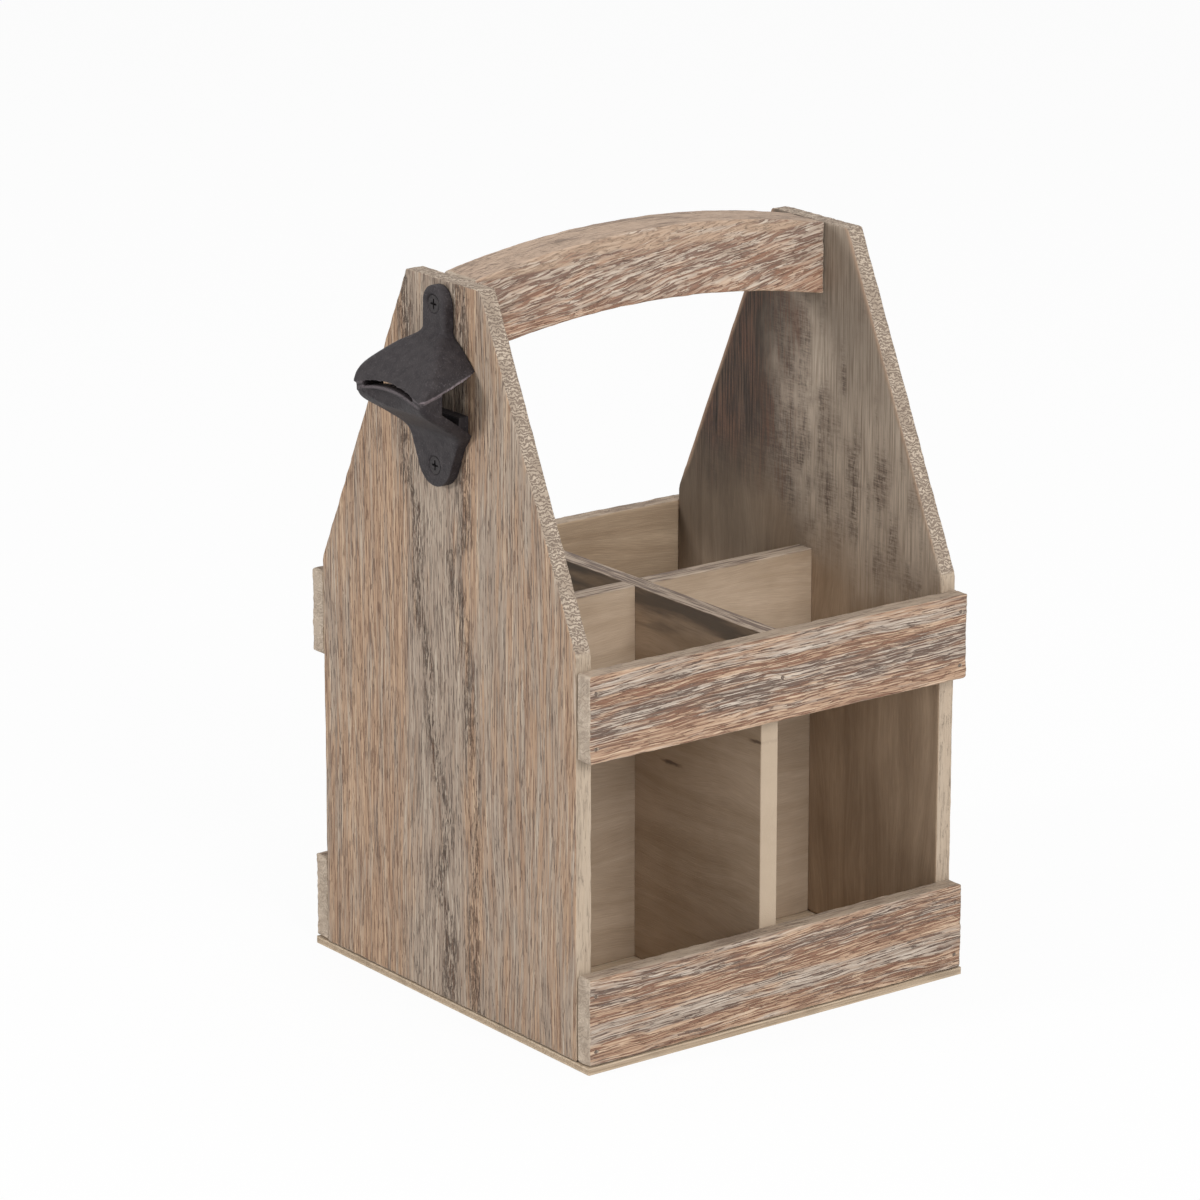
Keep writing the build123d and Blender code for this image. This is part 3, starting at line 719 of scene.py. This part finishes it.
cast_tree.interface.new_socket(name="Form", in_out="INPUT", socket_type="NodeSocketGeometry")
cast_tree.interface.new_socket(name="Depth", in_out="INPUT", socket_type="NodeSocketFloat")
cast_tree.interface.new_socket(name="Finish", in_out="INPUT", socket_type="NodeSocketMaterial")
bench = Bench(cast_tree)
given = cast_tree.nodes.new("NodeGroupInput")
take = {socket.name: Term(bench, socket) for socket in given.outputs if socket.name}
a, b, c = bench.grain_lines(bench.put("GeometryNodeInputPosition"), "xyz")
dents = bench.streak(a, b, c, 2.0, 3.5, 3.5, 3.0) + bench.streak(a, b, c, 1.0, 1.4, 1.4, 2.0) * 0.6
inward = bench.put(
    "ShaderNodeVectorMath",
    {0: bench.put("GeometryNodeInputNormal"), "Scale": dents * take["Depth"] * -1.0},
    operation="SCALE",
)
cast = bench.put("GeometryNodeSetPosition", {"Geometry": take["Form"], "Offset": inward})
cast = bench.put("GeometryNodeSetShadeSmooth", {"Geometry": cast})
cast = bench.put("GeometryNodeRealizeInstances", {"Geometry": cast})
cast = bench.put("GeometryNodeSetMaterial", {"Geometry": cast, "Material": take["Finish"]})
cast_tree.links.new(cast.socket, cast_tree.nodes.new("NodeGroupOutput").inputs["Casting"])
work(opener, cast_tree, {"Depth": 0.00022, "Finish": iron})
hand_over(opener, "bottle_opener")

# Screws: two countersunk cross-head screws of blackened steel hold the opener. The upper one goes through
# the panel into the handle. Each is turned with a thread and a point, and its recess is pressed.
steel = new_finish("screw_finish", metallic=0.5, specular=0.4)
a, b, c = steel.grain_lines(steel.place, "xyz")
film = steel.streak(a, b, c, 4.0, 0.7, 0.7, 3.0)
colour = steel.blend(film.between(0.35, 0.65), seen(36, 33, 34), seen(62, 57, 57))
screw_steel = apply_finish(steel, colour, film * 0.3 + 0.38, film, 0.00004)
screw_tree = bpy.data.node_groups.new("cross-head screw", "GeometryNodeTree")
screw_tree.interface.new_socket(name="Screw", in_out="OUTPUT", socket_type="NodeSocketGeometry")
for label, kind in (
    ("Blank", "Geometry"),
    ("Head Place", "Vector"),
    ("Length", "Float"),
    ("Head Radius", "Float"),
    ("Shank Radius", "Float"),
    ("Point Length", "Float"),
    ("Pitch", "Float"),
    ("Finish", "Material"),
):
    screw_tree.interface.new_socket(name=label, in_out="INPUT", socket_type=f"NodeSocket{kind}")
bench = Bench(screw_tree)
given = screw_tree.nodes.new("NodeGroupInput")
take = {socket.name: Term(bench, socket) for socket in given.outputs if socket.name}


def shift(geometry, distance):
    """Moves a shape along the screw."""
    way = bench.put("ShaderNodeCombineXYZ", {2: distance})
    return bench.put("GeometryNodeTransform", {"Geometry": geometry, "Translation": way})


def turned(start, radius_low, radius_high, depth):
    """A turned length of the screw, from one radius to another."""
    cone = bench.put(
        "GeometryNodeMeshCone",
        {"Vertices": 48, "Radius Bottom": radius_low, "Radius Top": radius_high, "Depth": depth},
    )
    return shift(cone, start)


head_depth = take["Head Radius"] - take["Shank Radius"]
core = take["Shank Radius"] * 0.78
head = turned(0.0, take["Head Radius"], take["Shank Radius"], head_depth)
slot_width, slot_length, slot_depth = 0.0008, 0.0042, 0.0026
slots = [
    bench.put("GeometryNodeMeshCube", {"Size": size})
    for size in ((slot_width, slot_length, slot_depth), (slot_length, slot_width, slot_depth))
]
bore = turned(-0.0001, 0.0009, 0.0006, 0.0016)
cut = screw_tree.nodes.new("GeometryNodeMeshBoolean")
cut.operation = "DIFFERENCE"
screw_tree.links.new(head.socket, cut.inputs["Mesh 1"])
for shape in (*slots, bore):
    screw_tree.links.new(shape.socket, cut.inputs["Mesh 2"])
shank_length = take["Length"] - take["Point Length"] - head_depth
shank = turned(head_depth, core, core, shank_length)
point = turned(take["Length"] - take["Point Length"], core, 0.00005, take["Point Length"])
spiral = bench.put(
    "GeometryNodeCurveSpiral",
    {
        "Resolution": 24,
        "Rotations": shank_length / take["Pitch"],
        "Start Radius": core,
        "End Radius": core,
        "Height": shank_length,
    },
)
ridge = bench.put(
    "GeometryNodeCurvePrimitiveCircle",
    {"Resolution": 3, "Radius": take["Shank Radius"] * 0.22},
    mode="RADIUS",
)
thread = bench.put("GeometryNodeCurveToMesh", {"Curve": spiral, "Profile Curve": ridge, "Fill Caps": True})
thread = shift(thread, head_depth)
joined = screw_tree.nodes.new("GeometryNodeJoinGeometry")
for shape in (Term(bench, cut.outputs["Mesh"]), shank, point, thread):
    screw_tree.links.new(shape.socket, joined.inputs["Geometry"])
quarter_turn = 1.5707963
laid = bench.put(
    "GeometryNodeTransform",
    {
        "Geometry": Term(bench, joined.outputs["Geometry"]),
        "Translation": take["Head Place"],
        "Rotation": (0.0, quarter_turn, 0.0),
    },
)
whole = bench.put("GeometryNodeRealizeInstances", {"Geometry": laid})
done = bench.put("GeometryNodeSetMaterial", {"Geometry": whole, "Material": take["Finish"]})
screw_tree.links.new(done.socket, screw_tree.nodes.new("NodeGroupOutput").inputs["Screw"])
for name in ("upper", "lower"):
    node = f"opener_{name}_screw"
    low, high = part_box(node)
    screw = bpy.data.objects.new(f"turned_{name}_screw", bpy.data.meshes.new(f"turned_{name}_screw"))
    bpy.context.collection.objects.link(screw)
    work(screw, screw_tree, {
        "Head Place": (low.x, 0.0, (low.z + high.z) / 2), "Length": high.x - low.x,
        "Head Radius": (high.z - low.z) / 2, "Shank Radius": 0.0017, "Point Length": 0.003,
        "Pitch": 0.0014, "Finish": screw_steel,
    })
    hand_over(screw, node)

# Room: a pale paper floor that keeps the caddy's shadow and is white to the eye, under a white sky.
# Three softboxes light the caddy from the left, from the front and from above.


def white_to_eye(bench):
    """Share of rays that come straight from the eye, or by way of a mirror or glass."""
    path = {name: bench.put("ShaderNodeLightPath", out=name) for name in (
        "Is Camera Ray", "Is Glossy Ray", "Is Transmission Ray",
    )}
    return path["Is Camera Ray"].most(path["Is Glossy Ray"]).most(path["Is Transmission Ray"])


floor_mesh = bpy.data.meshes.new("floor")
span = 6.0
floor_corners = [(-span, -span, 0), (span, -span, 0), (span, span, 0), (-span, span, 0)]
floor_mesh.from_pydata(floor_corners, [], [(0, 1, 2, 3)])
floor = bpy.data.objects.new("floor", floor_mesh)
bpy.context.collection.objects.link(floor)
paper = bpy.data.materials.new("floor_paper")
paper.use_nodes = True
bench = Bench(paper.node_tree)
skin = paper.node_tree.nodes["Principled BSDF"]
skin.inputs["Base Color"].default_value = (0.8, 0.8, 0.8, 1)
skin.inputs["Roughness"].default_value = 0.9
glow = bench.put("ShaderNodeEmission", {"Color": (1, 1, 1, 1), "Strength": 1.0})
mixed = bench.put(
    "ShaderNodeMixShader", {0: white_to_eye(bench) * 0.94, 1: Term(bench, skin.outputs["BSDF"]), 2: glow}
)
paper.node_tree.links.new(mixed.socket, paper.node_tree.nodes["Material Output"].inputs["Surface"])
floor_mesh.materials.append(paper)

world = bpy.data.worlds.new("studio")
bpy.context.scene.world = world
world.use_nodes = True
sky = world.node_tree.nodes["Background"]
sky.inputs["Color"].default_value = (1, 1, 1, 1)
bench = Bench(world.node_tree)
room_level = 0.4
strength = white_to_eye(bench) * (1.0 - room_level) + room_level
world.node_tree.links.new(strength.socket, sky.inputs["Strength"])


def lamp(name, place, size, power):
    """A square softbox at place, turned to the middle of the caddy."""
    light = bpy.data.lights.new(name, "AREA")
    light.size, light.energy = size, power
    fitting = bpy.data.objects.new(name, light)
    fitting.location = place
    fitting.rotation_euler = (caddy_middle - Vector(place)).to_track_quat("-Z", "Y").to_euler()
    bpy.context.collection.objects.link(fitting)


caddy_middle = Vector((0, 0, 0.15))
lamp("left_softbox", (-2.4, 0.55, 0.95), size=0.4, power=28.5)
lamp("front_softbox", (-0.2, -2.3, 1.4), size=1.4, power=46.5)
lamp("top_softbox", (0.3, 0.2, 2.4), size=1.4, power=14.0)

# Camera: it stands and looks as the photograph's own did, found from the caddy's corners in it.
# It frames the view, and nothing on the caddy depends on it.
eye = bpy.data.cameras.new("photo_eye")
eye.sensor_width, eye.lens = 36.0, 163.678
eye.shift_x, eye.shift_y = 0.001025, 0.001875
eye.clip_end = 50.0
camera = bpy.data.objects.new("photo_eye", eye)
camera.location = (-1.34699, -1.77100, 0.82057)
ahead = Vector((0.574786, 0.767337, -0.284278))
camera.rotation_euler = ahead.to_track_quat("-Z", "Y").to_euler()
bpy.context.collection.objects.link(camera)
bpy.context.scene.camera = camera
bpy.context.scene.view_settings.view_transform = "Standard"
